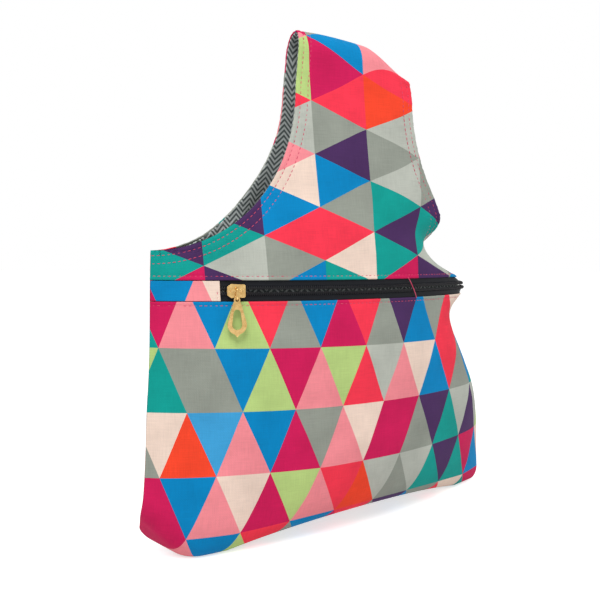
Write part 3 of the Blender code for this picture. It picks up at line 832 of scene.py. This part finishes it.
def plain_weave():
    """Over and under threads of a plain weave: height, and a mask of uneven threads."""
    tree, given, result = new_group(
        "plain_weave",
        [("Place", "NodeSocketVector", (0, 0, 0)), ("Thread", "NodeSocketFloat", COTTON_THREAD)],
        [("Height", "NodeSocketFloat"), ("Slub", "NodeSocketFloat")],
    )
    split = add_node(tree, "ShaderNodeSeparateXYZ", {0: given["Place"]})
    pace = calc(tree, "DIVIDE", math.pi, given["Thread"])
    waves = [calc(tree, "SINE", calc(tree, "MULTIPLY", axis, pace)) for axis in split.outputs[:2]]
    tree.links.new(calc(tree, "MULTIPLY_ADD", calc(tree, "MULTIPLY", *waves), 0.5, 0.5), result["Height"])
    threads = []
    for scale in ((SLUB_ACROSS, SLUB_ALONG, 1), (SLUB_ALONG, SLUB_ACROSS, 1)):
        drawn = add_node(tree, "ShaderNodeMapping", {"Vector": given["Place"], "Scale": scale}).outputs[0]
        slub = add_node(tree, "ShaderNodeTexNoise", {"Vector": drawn, "Scale": 1.0, "Detail": 2.0})
        threads.append(slub.outputs[0])
    tree.links.new(calc(tree, "MULTIPLY", calc(tree, "ADD", *threads), 0.5), result["Slub"])
    return tree


def uneven_tone():
    """A colour made a little lighter and darker over soft patches and by a mask of threads."""
    tree, given, result = new_group(
        "uneven_tone",
        [
            ("Color", "NodeSocketColor", (1, 1, 1, 1)),
            ("Place", "NodeSocketVector", (0, 0, 0)),
            ("Slub", "NodeSocketFloat", 0.5),
            ("Amount", "NodeSocketFloat", 0.1),
        ],
        [("Color", "NodeSocketColor")],
    )
    patches = {"Vector": given["Place"], "Scale": PATCH_SCALE, "Detail": 3.0}
    cloud = add_node(tree, "ShaderNodeTexNoise", patches)
    mixed = calc(tree, "ADD", cloud.outputs[0], given["Slub"])
    change = calc(tree, "MULTIPLY_ADD", calc(tree, "SUBTRACT", mixed, 1.0), given["Amount"], 1.0)
    toned = add_node(tree, "ShaderNodeHueSaturation", {"Color": given["Color"], "Value": change})
    tree.links.new(toned.outputs[0], result["Color"])
    return tree


def herringbone():
    """Slanting strokes that turn back at every column, as a mask."""
    tree, given, result = new_group(
        "herringbone",
        [
            ("Place", "NodeSocketVector", (0, 0, 0)),
            ("Column", "NodeSocketFloat", CHEVRON_COLUMN),
            ("Pitch", "NodeSocketFloat", CHEVRON_PITCH),
        ],
        [("Mask", "NodeSocketFloat")],
    )
    split = add_node(tree, "ShaderNodeSeparateXYZ", {0: given["Place"]})
    fold = calc(tree, "PINGPONG", split.outputs[0], given["Column"])
    slanted = calc(tree, "DIVIDE", calc(tree, "ADD", split.outputs[1], fold), given["Pitch"])
    stroke = calc(tree, "SINE", calc(tree, "MULTIPLY", slanted, 2 * math.pi))
    soft = add_node(tree, "ShaderNodeMapRange", {0: stroke, 1: CHEVRON_EDGE[0], 2: CHEVRON_EDGE[1]})
    tree.links.new(soft.outputs[0], result["Mask"])
    return tree


def new_material(name, values):
    """A material, its tree and its shader, with fixed values on the shader's own sockets."""
    material = bpy.data.materials.new(name)
    material.use_nodes = True
    tree = material.node_tree
    shader = tree.nodes["Principled BSDF"]
    for label, value in values.items():
        shader.inputs[label].default_value = value
    return material, tree, shader


def use_group(tree, group, inputs):
    """Places a node group, joins or fills its inputs and gives its outputs."""
    return add_node(tree, "ShaderNodeGroup", inputs, node_tree=group).outputs


def two_tone(tree, mask, tones):
    """A colour between a darker and a lighter tone, by a mask."""
    mixed = add_node(tree, "ShaderNodeMix", {0: mask}, data_type="RGBA")
    mixed.inputs[MIX_DARK].default_value = linear(tones[0])
    mixed.inputs[MIX_LIGHT].default_value = linear(tones[1])
    return mixed.outputs[MIX_RESULT]


def speckled(tree, shader, scale, detail, tones, roughness):
    """Varies a finish over the piece's own space: its tone, and its roughness between two values."""
    place = add_node(tree, "ShaderNodeTexCoord").outputs["Object"]
    specks = {"Vector": place, "Scale": scale, "Detail": detail}
    cloud = add_node(tree, "ShaderNodeTexNoise", specks).outputs[0]
    rough = add_node(tree, "ShaderNodeMapRange", {0: cloud, 3: roughness[0], 4: roughness[1]})
    tree.links.new(rough.outputs[0], shader.inputs["Roughness"])
    tree.links.new(two_tone(tree, cloud, tones), shader.inputs["Base Color"])
    return cloud


def relief(tree, shader, height, distance):
    """Raises the surface's finish by a height from 0 to 1 over a distance."""
    raised = {"Height": height, "Distance": distance, "Strength": BUMP_STRENGTH}
    bump = add_node(tree, "ShaderNodeBump", raised)
    tree.links.new(bump.outputs[0], shader.inputs["Normal"])


def woven(tree, shader, groups, colour, place, amount, thread_height):
    """Gives a cloth its weave: the relief of its threads, and uneven tone in its colour."""
    weave = use_group(tree, groups["weave"], {"Place": place})
    tone = {"Color": colour, "Place": place, "Slub": weave["Slub"], "Amount": amount}
    tree.links.new(use_group(tree, groups["tone"], tone)["Color"], shader.inputs["Base Color"])
    relief(tree, shader, weave["Height"], thread_height)


def printed_cotton(groups):
    """The outer cloth: the triangle print on a plain weave."""
    material, tree, shader = new_material("printed_cotton", {"Roughness": 0.7, "Specular IOR Level": 0.1})
    place = add_node(tree, "ShaderNodeUVMap", uv_map="cloth").outputs[0]
    split = add_node(tree, "ShaderNodeSeparateXYZ", {0: place})
    ink = use_group(tree, groups["print"], {"Across": split.outputs[0], "Down": split.outputs[1]})["Color"]
    woven(tree, shader, groups, ink, place, 0.42, 0.1 * MM)
    return material


def herringbone_cotton(groups):
    """The lining: light slanting strokes on grey."""
    fixed = {"Roughness": 0.85, "Specular IOR Level": 0.2}
    material, tree, shader = new_material("herringbone_cotton", fixed)
    place = add_node(tree, "ShaderNodeUVMap", uv_map="cloth").outputs[0]
    mask = use_group(tree, groups["herringbone"], {"Place": place})["Mask"]
    woven(tree, shader, groups, two_tone(tree, mask, LINING_TONES), place, 0.5, 0.08 * MM)
    return material


def zip_tape(groups):
    """Black woven tape."""
    material, tree, shader = new_material("zip_tape", {"Roughness": 0.55, "Specular IOR Level": 0.14})
    place = add_node(tree, "ShaderNodeUVMap", uv_map="cloth").outputs[0]
    weave = use_group(tree, groups["weave"], {"Place": place, "Thread": TAPE_THREAD})
    tree.links.new(two_tone(tree, weave["Slub"], TAPE_TONES), shader.inputs["Base Color"])
    relief(tree, shader, weave["Height"], 0.15 * MM)
    return material


def coil_nylon():
    """Black nylon wire, a little scuffed."""
    material, tree, shader = new_material("coil_nylon", {"Specular IOR Level": 0.32})
    speckled(tree, shader, SCUFF_SCALE, 2.0, COIL_TONES, (0.22, 0.45))
    return material


def cast_gold():
    """Gold plated castings."""
    material, tree, shader = new_material("cast_gold", {"Metallic": 1.0})
    cloud = speckled(tree, shader, CLOUD_SCALE, 3.0, GOLD_TONES, (0.12, 0.3))
    relief(tree, shader, cloud, 0.04 * MM)
    return material


def sewing_thread():
    """Pink-red thread."""
    material, tree, shader = new_material("sewing_thread", {"Roughness": 0.55, "Sheen Weight": 0.2})
    place = add_node(tree, "ShaderNodeTexCoord").outputs["Object"]
    twist = add_node(tree, "ShaderNodeTexNoise", {"Vector": place, "Scale": TWIST_SCALE, "Detail": 1.0})
    tree.links.new(two_tone(tree, twist.outputs[0], THREAD_TONES), shader.inputs["Base Color"])
    return material


def make_pocket_panel(material):
    """The pocket's face: from its hem at the zip down over the roll to the bottom seam."""
    top = ZIP_HEIGHT - ZIP_BAND / 2
    heights = merged(np.linspace(PANEL_LOWEST, top, POCKET_ROWS), top - HEM_STEPS)
    v = merged(level_of(heights, False), np.linspace(0, BASE_END, BASE_ROWS))
    shares = spread(POCKET_COLUMNS, END_SHARES)
    height = flat_height(v, False)[:, None]
    s = spread_across(shares, v, 0.0, False)
    hem = top - height
    wave = lie(s, v, False)
    fold = folded(hem, PANEL_THICKNESS / 2)
    depth = fold + sewn(hem, s, (HEM_ROW,), HEM_PUCKER_REACH) + wave
    at_seam = np.broadcast_to(np.abs(shares) == 1, s.shape)
    outer = cloth(s, v, depth, False, at_seam)
    inner_s = spread_across(shares, v, PANEL_THICKNESS, False)
    inner = cloth(inner_s, v, PANEL_THICKNESS - fold + wave, False, at_seam)
    made = closed_sheet("pocket_panel", outer, inner, pocket_print(s, height), material)
    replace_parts(made, "front_pocket_panel")


def handle_piece(name, node, v, back, hem_height, place_print, material):
    """A face that runs up beside the armholes and over the strap to the crown, with a folded hem or none."""
    shares = spread(HANDLE_COLUMNS, END_SHARES)
    height = flat_height(v, back)[:, None]
    s = spread_across(shares, v, 0.0, back)
    above = np.broadcast_to(v[:, None] >= SHOULDER, s.shape)
    distance, run = edge_distance(s, np.broadcast_to(height, s.shape), back)
    fold = folded(np.where(above, distance, 1), PANEL_THICKNESS / 2)
    depth = fold + sewn(distance, run, STITCH_ROWS, ARMHOLE_PUCKER_REACH)
    wave = lie(s, v, back)
    if hem_height is not None:
        hem = height - hem_height
        hem_fold = folded(hem, PANEL_THICKNESS / 2)
        depth = depth + hem_fold + sewn(hem, s, (HEM_ROW,), HEM_PUCKER_REACH)
        fold = np.maximum(fold, hem_fold)
    at_seam = (np.abs(shares) == 1) & (v[:, None] <= SHOULDER)
    outer = cloth(s, v, depth + wave, back, at_seam)
    inner_s = spread_across(shares, v, PANEL_THICKNESS, back)
    inner = cloth(inner_s, v, PANEL_THICKNESS - (fold - wave), back, at_seam)
    made = closed_sheet(name, outer, inner, place_print(s, height), material)
    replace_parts(made, node)


def handle_levels():
    """Level lines from the shoulder to the crown, closer where the armhole's edge runs level."""
    curved, straight, bent = HANDLE_ROWS
    armhole = SHOULDER + np.linspace(0, 1, curved) ** HANDLE_SPACING
    strap = np.linspace(STRAP, CROWN, straight)[1:]
    crown = np.linspace(CROWN, TOP, bent)[1:]
    return np.concatenate([armhole, strap, crown])


def make_yoke_panel(material):
    """The face above the zip, with the front half of the handle."""
    bottom = ZIP_HEIGHT + ZIP_BAND / 2
    wall = np.linspace(bottom, SHOULDER_HEIGHT, YOKE_WALL_ROWS)
    v = merged(wall_level(bottom + HEM_STEPS), wall_level(wall), handle_levels())
    handle_piece("yoke_panel", "front_yoke_panel", v, False, bottom, yoke_print, material)


def make_back_panel(material):
    """The back's face, with the back half of the handle."""
    low = level_of(np.linspace(PANEL_LOWEST, SHOULDER_HEIGHT, BACK_ROWS), True)
    v = merged(low, np.linspace(0, BASE_END, BASE_ROWS), handle_levels())
    handle_piece("back_panel_cloth", "back_panel", v, True, None, back_print, material)


def lining_depth(v):
    """Depth of the lining below the outer surface: deep behind the zip, close behind the handle."""
    end = SHOULDER + math.acos(1 - LINING_RISE_END / ARMHOLE_RISE) / (math.pi / 2)
    share = smoothstep((v - SHOULDER) / (end - SHOULDER))
    return LINING_DEPTH_LOW + (LINING_DEPTH_HIGH - LINING_DEPTH_LOW) * share


def make_linings(material):
    """Front and back lining: the herringbone cloth that shows inside the loop."""
    for back, side, rests_on in ((False, "front", "front_yoke_panel"), (True, "back", "back_panel")):
        low = level_of(np.linspace(LINING_LOWEST, SHOULDER_HEIGHT, LINING_ROWS), back)
        v = merged(low, np.linspace(0, BASE_END, LINING_BASE_ROWS), handle_levels())
        shares = spread(LINING_COLUMNS, END_SHARES[:2])
        top = lining_depth(v)[:, None]
        height = flat_height(v, back)[:, None]
        s = spread_across(shares, v, top, back)
        at_seam = (np.abs(shares) == 1) & (v[:, None] <= SHOULDER)
        distance, _ = edge_distance(s, np.broadcast_to(height, s.shape), back)
        above = np.broadcast_to(v[:, None] >= SHOULDER, s.shape)
        fold = folded(np.where(above, distance, 1), LINING_THICKNESS / 2)
        wave = lie(s, v, back)
        outer = cloth(s, v, top + fold + wave, back, at_seam)
        inner_s = spread_across(shares, v, top + LINING_THICKNESS, back)
        inner = cloth(inner_s, v, top + LINING_THICKNESS - fold + wave, back, at_seam)
        places = np.stack(np.broadcast_arrays(s, height), -1)
        made = closed_sheet(f"{side}_lining_cloth", outer, inner, places, material)
        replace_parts(made, f"{side}_lining")


def make_pocket_lining(material):
    """The cloth that closes the zip pocket from behind."""
    v = wall_level(np.linspace(POCKET_LINING_FOOT, POCKET_LINING_HEAD, POCKET_LINING_ROWS))
    shares = spread(LINING_COLUMNS, END_SHARES[:2])
    s = spread_across(shares, v, POCKET_LINING_DEPTH, False)
    height = flat_height(v, False)[:, None]
    at_seam = np.broadcast_to(np.abs(shares) == 1, s.shape)
    wave = lie(s, v, False)
    outer = cloth(s, v, POCKET_LINING_DEPTH + wave, False, at_seam)
    inner_s = spread_across(shares, v, POCKET_LINING_DEPTH + POCKET_LINING_THICKNESS, False)
    inner = cloth(inner_s, v, POCKET_LINING_DEPTH + POCKET_LINING_THICKNESS + wave, False, at_seam)
    places = np.stack(np.broadcast_arrays(s, height), -1)
    made = closed_sheet("pocket_lining_cloth", outer, inner, places, material)
    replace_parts(made, "pocket_lining")


def make_tapes(material):
    """The two woven tapes of the zip, with the ribs that run along them."""
    for name, node, sign in (("tape_upper", "zip_tape_upper", 1), ("tape_lower", "zip_tape_lower", -1)):
        rises = sign * np.linspace(TAPE_EDGE_GAP / 2, TAPE_EDGE_GAP / 2 + TAPE_WIDTH, TAPE_ROWS)
        v = wall_level(ZIP_HEIGHT + rises)
        shares = spread(TAPE_COLUMNS)
        s = spread_across(shares, v, TAPE_DEPTH, False)
        at_seam = np.broadcast_to(np.abs(shares) == 1, s.shape)
        rib = RIB_HEIGHT * np.abs(np.sin(rises / RIB_WIDTH * math.pi / 2))[:, None]
        outer = cloth(s, v, TAPE_DEPTH - rib, False, at_seam)
        inner = cloth(s, v, TAPE_DEPTH + TAPE_THICKNESS, False, at_seam)
        places = np.stack(np.broadcast_arrays(s, rises[:, None]), -1)
        made = closed_sheet(name, outer, inner, places, material)
        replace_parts(made, node)


def make_end_tab(material):
    """The strip of print over the left end of the zip, folded under at its stitched end."""
    half = ZIP_BAND / 2 - CLEARANCE
    rises = merged(np.linspace(-half, half, TAB_ROWS), half - TAB_SIDE_STEPS, TAB_SIDE_STEPS - half)
    v = wall_level(ZIP_HEIGHT + rises)
    low = ends(v, 0.0, False)[0]
    shares = merged(np.linspace(0, 1, TAB_COLUMNS), 1 - TAB_END_SHARES)
    s = low + (TAB_END - low) * shares
    fold = folded(TAB_END - s, PANEL_THICKNESS / 2)
    depth = fold + folded(half - np.abs(rises)[:, None], PANEL_THICKNESS / 3)
    depth = depth + sewn(TAB_END - s, rises[:, None], (TAB_ROW,), TAB_PUCKER_REACH)
    at_seam = np.broadcast_to(shares == 0, s.shape)
    outer = cloth(s, v, depth, False, at_seam)
    inner_low = ends(v, PANEL_THICKNESS, False)[0]
    inner_s = inner_low + (TAB_END - inner_low) * shares
    inner = cloth(inner_s, v, PANEL_THICKNESS - fold, False, at_seam)
    places = pocket_print(s + TAB_PRINT_ACROSS, ZIP_HEIGHT + rises[:, None] + TAB_PRINT_UP)
    made = closed_sheet("end_tab", outer, inner, places, material)
    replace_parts(made, "zip_end_tab")


def tube(bm, path, radii, sides=5):
    """Adds a closed tube along a path of points, with a radius at each."""
    path = np.asarray(path, float)
    ahead = np.gradient(path, axis=0)
    ahead /= np.linalg.norm(ahead, axis=1, keepdims=True)
    side = np.cross(ahead, TUBE_ASIDE)
    side /= np.linalg.norm(side, axis=1, keepdims=True)
    up = np.cross(side, ahead)
    rings = []
    for point, a, b, radius in zip(path, side, up, np.broadcast_to(radii, len(path))):
        angles = np.arange(sides) * 2 * math.pi / sides
        ring = point + radius * (np.outer(np.cos(angles), a) + np.outer(np.sin(angles), b))
        rings.append([bm.verts.new(p) for p in ring])
    for first, second in zip(rings, rings[1:]):
        for k in range(sides):
            n = (k + 1) % sides
            bm.faces.new([first[k], first[n], second[n], second[k]])
    bm.faces.new(rings[0][::-1])
    bm.faces.new(rings[-1])


def finish_trim(name, bm, material):
    """Turns a filled bmesh into an object that rides on the bag."""
    bmesh.ops.recalc_face_normals(bm, faces=bm.faces[:])
    mesh = bpy.data.meshes.new(name)
    bm.to_mesh(mesh)
    bm.free()
    mesh.materials.append(material)
    mesh.shade_smooth()
    made = bpy.data.objects.new(name, mesh)
    bpy.context.scene.collection.objects.link(made)
    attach(made, "bag")
    return made


def make_coils(material):
    """The two halves of the chain: each a nylon coil that lies on its tape."""
    start = TAB_END + CLEARANCE
    turns = int((CHAIN_END - start) / COIL_PITCH)
    count = turns * COIL_STEPS
    angle = np.arange(count + 1) * 2 * math.pi / COIL_STEPS
    along = start + (CHAIN_END - start) * np.arange(count + 1) / count
    middle, reach = (CHAIN_NEAR + CHAIN_FAR) / 2, (CHAIN_FAR - CHAIN_NEAR) / 2 - COIL_WIRE
    top, bottom = COIL_WIRE - CHAIN_PROUD, CHAIN_SUNK - COIL_WIRE
    depth = (top + bottom) / 2 + (bottom - top) / 2 * np.sin(angle)
    for name, node, sign in (("coil_upper", "zip_chain_upper", 1), ("coil_lower", "zip_chain_lower", -1)):
        rise = sign * (middle + reach * np.cos(angle))
        path = line(along, wall_level(ZIP_HEIGHT + rise), depth)
        bm = bmesh.new()
        tube(bm, path, COIL_WIRE)
        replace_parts(finish_trim(name, bm, material), node)


def sew(bm, s, v, back):
    """Adds a row of stitches along a line on the cloth, each sunk at its ends."""
    path = line(s, v, STITCH_BED - STITCH_PROUD, back)
    sunk = line(s, v, STITCH_BED + STITCH_SUNK, back)
    run = np.concatenate([[0], np.cumsum(np.linalg.norm(np.diff(path, axis=0), axis=1))])
    for i in range(int(run[-1] / STITCH_STEP)):
        places = i * STITCH_STEP + np.linspace(0, STITCH_LENGTH, STITCH_POINTS)
        proud = np.sin(np.linspace(0, math.pi, STITCH_POINTS)) ** STITCH_ROUND
        high = np.stack([np.interp(places, run, path[:, k]) for k in range(3)], -1)
        low = np.stack([np.interp(places, run, sunk[:, k]) for k in range(3)], -1)
        radii = THREAD_RADIUS * (STITCH_TAPER + (1 - STITCH_TAPER) * proud)
        tube(bm, low + (high - low) * proud[:, None], radii)


def armhole_row(distance, back):
    """A line at a distance inside the armhole's edge: places across and level numbers."""
    edge_s, edge_h = armhole_edge(back)
    way = np.stack([np.gradient(edge_s), np.gradient(edge_h)], -1)
    way /= np.linalg.norm(way, axis=1, keepdims=True)
    s = edge_s - way[:, 1] * distance
    height = edge_h + way[:, 0] * distance
    inside = height < flat_height(TOP, back)
    return s[inside], level_of(height[inside], back)


def make_stitches(material):
    """Topstitching along the armholes, the hems and the end tab."""
    for back, name in ((False, "front_armhole_stitches"), (True, "back_armhole_stitches")):
        bm = bmesh.new()
        for distance in STITCH_ROWS:
            s, v = armhole_row(distance, back)
            keep = s < ends(v, 0.0, back)[1][:, 0]
            for side in (-1, 1):
                sew(bm, side * s[keep], v[keep], back)
        finish_trim(name, bm, material)
    bm = bmesh.new()
    for height in (ZIP_HEIGHT + ZIP_BAND / 2 + HEM_ROW, ZIP_HEIGHT - ZIP_BAND / 2 - HEM_ROW):
        v = np.full(HEM_POINTS, wall_level(height))
        half = ends(v[:1], 0.0, False)[1][0, 0] - STITCH_END_GAP
        sew(bm, np.linspace(-half, half, HEM_POINTS), v, False)
    finish_trim("hem_stitches", bm, material)
    bm = bmesh.new()
    reach = ZIP_BAND / 2 - STITCH_END_GAP
    v = wall_level(ZIP_HEIGHT + np.linspace(-reach, reach, SHORT_ROW_POINTS))
    sew(bm, np.full(SHORT_ROW_POINTS, TAB_END - TAB_ROW), v, False)
    finish_trim("tab_stitches", bm, material)


def make_tack(material):
    """A thread that lies slanting across the zip."""
    reach = ZIP_BAND / 2 + TACK_REACH
    rise = np.linspace(reach, -reach, TACK_POINTS)
    s = TACK_PLACE + np.linspace(*TACK_SLANT, TACK_POINTS)
    lift = TACK_LIFT * np.sin(np.linspace(0, math.pi, TACK_POINTS)) ** TACK_ROUND
    bm = bmesh.new()
    tube(bm, line(s, wall_level(ZIP_HEIGHT + rise), TACK_BED - lift), TACK_RADIUS, TACK_SIDES)
    finish_trim("end_tack", bm, material)


def dress_metal(material):
    """Rounds the edges of the slider and pull, and gives them and the link their finish."""
    for name, width in METAL_BEVELS.items():
        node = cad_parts[name]
        node.data.materials.clear()
        node.data.materials.append(material)
        weld = node.modifiers.new("weld", "WELD")
        weld.merge_threshold = METAL_WELD
        if width:
            bevel = node.modifiers.new("bevel", "BEVEL")
            bevel.width = width
            bevel.segments = METAL_SEGMENTS
            bevel.limit_method = "ANGLE"
            bevel.angle_limit = METAL_EDGE
        node.data.shade_smooth()
        node.modifiers.new("normals", "WEIGHTED_NORMAL").keep_sharp = True


def make_floor():
    """A pale floor that is white to the camera and keeps the bag's soft shadow."""
    bm = bmesh.new()
    bmesh.ops.create_grid(bm, x_segments=1, y_segments=1, size=FLOOR_HALF_SIZE)
    mesh = bpy.data.meshes.new("floor")
    bm.to_mesh(mesh)
    bm.free()
    floor = bpy.data.objects.new("floor", mesh)
    floor.location.z = -FLOOR_DROP
    bpy.context.scene.collection.objects.link(floor)
    fixed = {"Roughness": 0.9, "Base Color": FLOOR_TONE, "Emission Color": WHITE}
    material, tree, shader = new_material("pale_floor", fixed)
    seen = add_node(tree, "ShaderNodeLightPath").outputs
    direct = calc(tree, "MAXIMUM", seen["Is Camera Ray"], seen["Is Glossy Ray"])
    tree.links.new(calc(tree, "MULTIPLY", direct, FLOOR_GLOW), shader.inputs["Emission Strength"])
    mesh.materials.append(material)


def make_world():
    """A white surround that lights the bag evenly and is white behind it."""
    world = bpy.data.worlds.new("surround")
    bpy.context.scene.world = world
    world.use_nodes = True
    tree = world.node_tree
    seen = add_node(tree, "ShaderNodeLightPath").outputs
    direct = calc(tree, "MAXIMUM", seen["Is Camera Ray"], seen["Is Transmission Ray"])
    mirrored = calc(tree, "MULTIPLY", seen["Is Glossy Ray"], SURROUND_IN_METAL)
    straight = calc(tree, "MAXIMUM", direct, mirrored)
    strength = calc(tree, "ADD", calc(tree, "MULTIPLY", straight, SURROUND_SEEN), SURROUND_LIGHT)
    tree.links.new(strength, tree.nodes["Background"].inputs["Strength"])
    tree.nodes["Background"].inputs["Color"].default_value = WHITE


def add_lamp(name, place, size, power):
    """A square soft lamp that faces the bag."""
    lamp = bpy.data.lights.new(name, "AREA")
    lamp.size = size
    lamp.energy = power
    made = bpy.data.objects.new(name, lamp)
    made.location = place
    aim = Vector(LAMP_AIM) - Vector(place)
    made.rotation_euler = aim.to_track_quat("-Z", "Y").to_euler()
    bpy.context.scene.collection.objects.link(made)


def make_camera():
    """The photograph's own view of the bag."""
    data = bpy.data.cameras.new("camera")
    data.lens = CAMERA_LENS
    data.sensor_width = CAMERA_SENSOR
    data.clip_start = CAMERA_NEAR
    made = bpy.data.objects.new("camera", data)
    bpy.context.scene.collection.objects.link(made)
    turn = Matrix.Rotation(CAMERA_YAW, 4, "Z") @ Matrix.Rotation(math.pi / 2 + CAMERA_PITCH, 4, "X")
    made.matrix_world = Matrix.Translation(CAMERA_PLACE) @ turn @ Matrix.Rotation(CAMERA_ROLL, 4, "Z")
    bpy.context.scene.camera = made


def main():
    """Builds the cloth, the zip and the stage around the frame."""
    bpy.context.scene.view_settings.view_transform = "Standard"
    make_camera()
    groups = {
        "print": triangle_print(),
        "weave": plain_weave(),
        "tone": uneven_tone(),
        "herringbone": herringbone(),
    }
    cotton = printed_cotton(groups)
    tape = zip_tape(groups)
    thread = sewing_thread()
    make_pocket_panel(cotton)
    make_yoke_panel(cotton)
    make_back_panel(cotton)
    lining = herringbone_cotton(groups)
    make_linings(lining)
    make_pocket_lining(lining)
    make_end_tab(cotton)
    make_tapes(tape)
    make_coils(coil_nylon())
    make_stitches(thread)
    make_tack(thread)
    dress_metal(cast_gold())
    make_floor()
    make_world()
    add_lamp("key", (-0.55, -0.7, 1.35), 0.7, 13)
    add_lamp("fill", (0.9, -0.8, 0.7), 0.8, 2)


main()
